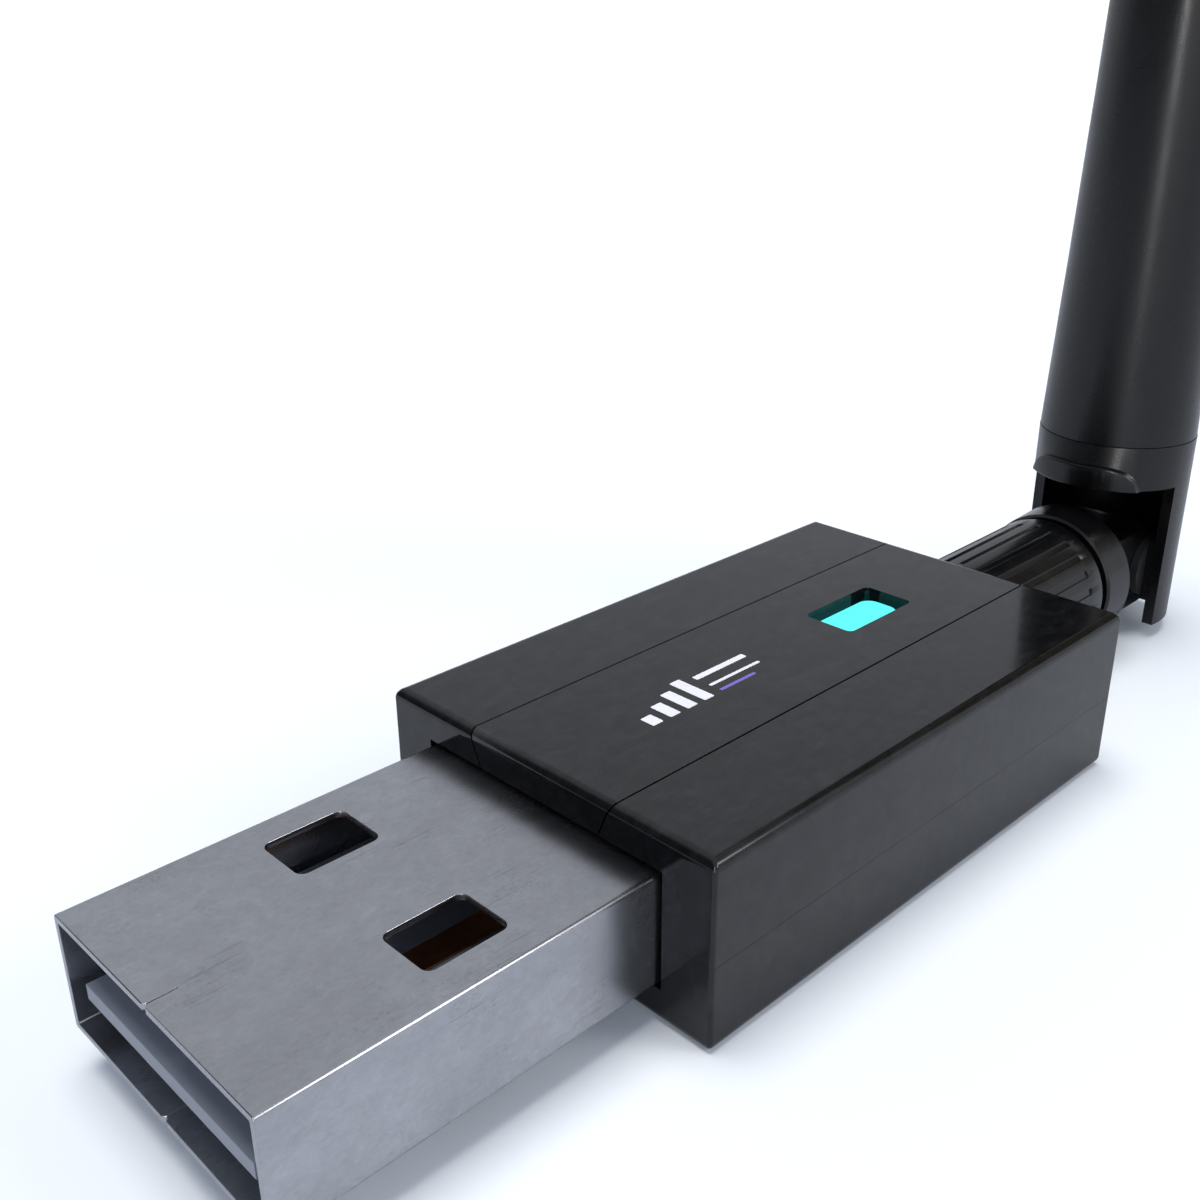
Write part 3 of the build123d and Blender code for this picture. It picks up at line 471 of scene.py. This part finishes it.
def build_floor():
    """Large pale sheet under the object, paler to the camera than to reflections."""
    mesh = bpy.data.meshes.new("floor")
    shape = bmesh.new()
    bmesh.ops.create_grid(shape, x_segments=8, y_segments=8, size=FLOOR_SIZE)
    shape.to_mesh(mesh)
    shape.free()
    made = bpy.data.objects.new("floor", mesh)
    made.location.z = cad_low.z - FLOOR_GAP
    bpy.context.scene.collection.objects.link(made)
    material, tree = new_tree("pale_floor")
    grain = noise(tree, (1, 1, 1), 0.6, 4, 0.6)
    paper = blend_colour(tree, ramp(tree, grain, 0.3, 0.7), FLOOR_DARK, FLOOR_LIGHT)
    seen = node(tree, "ShaderNodeLightPath").outputs["Is Camera Ray"]
    finish_material(material, tree, {
        "Base Color": blend_colour(tree, seen, paper, FLOOR_SEEN),
        "Roughness": 0.9,
        "Specular IOR Level": 0.0,
        "Emission Color": as_colour(FLOOR_GLOW),
        "Emission Strength": FLOOR_GLOW_STRENGTH,
    })
    mesh.materials.append(material)


# Studio patches as the object sees them: direction, cosine where the patch starts
# and where it is full, colour. Later patches lie over earlier ones.
STUDIO_BASE = (0.56, 0.58, 0.62)
STUDIO_PATCHES = (
    ((0.65, 0.60, 0.47), 0.55, 0.95, (0.52, 0.54, 0.58)),
    ((-0.93, 0.24, 0.28), 0.45, 0.80, (0.045, 0.047, 0.055)),
    ((-0.86, -0.35, 0.10), 0.80, 0.93, (0.045, 0.047, 0.055)),
    ((0.89, -0.10, 0.46), 0.90, 0.945, (0.10, 0.085, 0.055)),
    ((-0.56, -0.80, 0.20), 0.93, 0.985, (1.2, 1.2, 1.22)),
    ((0.36, -0.76, 0.54), 0.93, 0.955, (0.06, 0.07, 0.10)),
    ((0.46, -0.70, 0.54), 0.968, 0.986, (7.5, 7.5, 7.5)),
)
AMBIENT = (0.76, 0.86, 1.08)
AMBIENT_STRENGTH = 0.38
WHITE_STRENGTH = 1.1


def build_world():
    """White for the camera, even light for matt surfaces, a patchy studio for reflections."""
    world = bpy.data.worlds.new("studio")
    bpy.context.scene.world = world
    world.use_nodes = True
    tree = world.node_tree
    tree.nodes.clear()
    direction = node(tree, "ShaderNodeTexCoord").outputs["Generated"]
    tint = STUDIO_BASE
    for towards, start, full, colour in STUDIO_PATCHES:
        unit = tuple(Vector(towards).normalized())
        closeness = node(
            tree, "ShaderNodeVectorMath", {0: direction, 1: unit}, operation="DOT_PRODUCT"
        ).outputs["Value"]
        tint = blend_colour(tree, ramp(tree, closeness, start, full), tint, colour)
    path = node(tree, "ShaderNodeLightPath")
    studio = node(tree, "ShaderNodeBackground", {"Color": tint, "Strength": 1.0})
    even = node(
        tree, "ShaderNodeBackground", {"Color": as_colour(AMBIENT), "Strength": AMBIENT_STRENGTH}
    )
    white = node(
        tree, "ShaderNodeBackground", {"Color": (1, 1, 1, 1), "Strength": WHITE_STRENGTH}
    )
    lit = node(
        tree, "ShaderNodeMixShader",
        {0: path.outputs["Is Diffuse Ray"], 1: studio.outputs[0], 2: even.outputs[0]},
    )
    mixed = node(
        tree, "ShaderNodeMixShader",
        {0: path.outputs["Is Camera Ray"], 1: lit.outputs[0], 2: white.outputs[0]},
    )
    node(tree, "ShaderNodeOutputWorld", {"Surface": mixed.outputs[0]})


def build_aimed(name, data, towards):
    """Object in the scene that looks along a direction."""
    made = bpy.data.objects.new(name, data)
    made.rotation_mode = "QUATERNION"
    made.rotation_quaternion = towards.to_track_quat("-Z", "Y")
    bpy.context.scene.collection.objects.link(made)
    return made


KEY_DIRECTION = Vector((0.01, -0.03, -0.36))
KEY_STRENGTH = 2.1
KEY_ANGLE = math.radians(32)
KEY_COLOUR = (1.0, 0.99, 0.96)


def build_key():
    """Distant soft light from above, left out of reflections."""
    data = bpy.data.lights.new("key", "SUN")
    data.energy = KEY_STRENGTH
    data.angle = KEY_ANGLE
    data.color = KEY_COLOUR
    made = build_aimed("key", data, KEY_DIRECTION)
    made.visible_glossy = False


# Metres, and watts for the power.
STREAK_AZIMUTH = math.radians(-147)
STREAK_DISTANCE = 0.5
STREAK_W = 0.03
STREAK_H = 0.5
STREAK_POWER = 0.85


def build_streak():
    """Tall narrow lamp aimed at the antenna, seen only as a streak in shiny surfaces."""
    data = bpy.data.lights.new("streak", "AREA")
    data.shape = "RECTANGLE"
    data.size = STREAK_W
    data.size_y = STREAK_H
    data.energy = STREAK_POWER
    low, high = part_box("radome")
    middle = Vector(((low.x + high.x) / 2, (low.y + high.y) / 2, STREAK_H / 2))
    outward = Vector((math.cos(STREAK_AZIMUTH), math.sin(STREAK_AZIMUTH), 0))
    made = build_aimed("streak", data, -outward)
    made.location = middle + STREAK_DISTANCE * outward
    made.visible_camera = False
    made.visible_diffuse = False
    made.visible_transmission = False


CAMERA_PLACE = Vector((-26.56, -30.99, 28.10)) * MM
CAMERA_TARGET = Vector((5.146, 1.999, 7.939)) * MM
CAMERA_ROLL = math.radians(-0.559)
SENSOR = 36
LENS = 40.25
CLIP_START = 2 * MM


def build_camera():
    """Camera close to the plug, looking down the adapter towards the antenna."""
    data = bpy.data.cameras.new("camera")
    data.sensor_width = SENSOR
    data.lens = LENS
    data.clip_start = CLIP_START
    made = build_aimed("camera", data, CAMERA_TARGET - CAMERA_PLACE)
    made.location = CAMERA_PLACE
    aim = made.rotation_quaternion.copy()
    made.rotation_quaternion = aim @ Quaternion((0, 0, 1), CAMERA_ROLL)
    bpy.context.scene.camera = made


build_floor()
build_world()
build_streak()
build_key()
build_camera()
bpy.context.scene.view_settings.view_transform = "Standard"
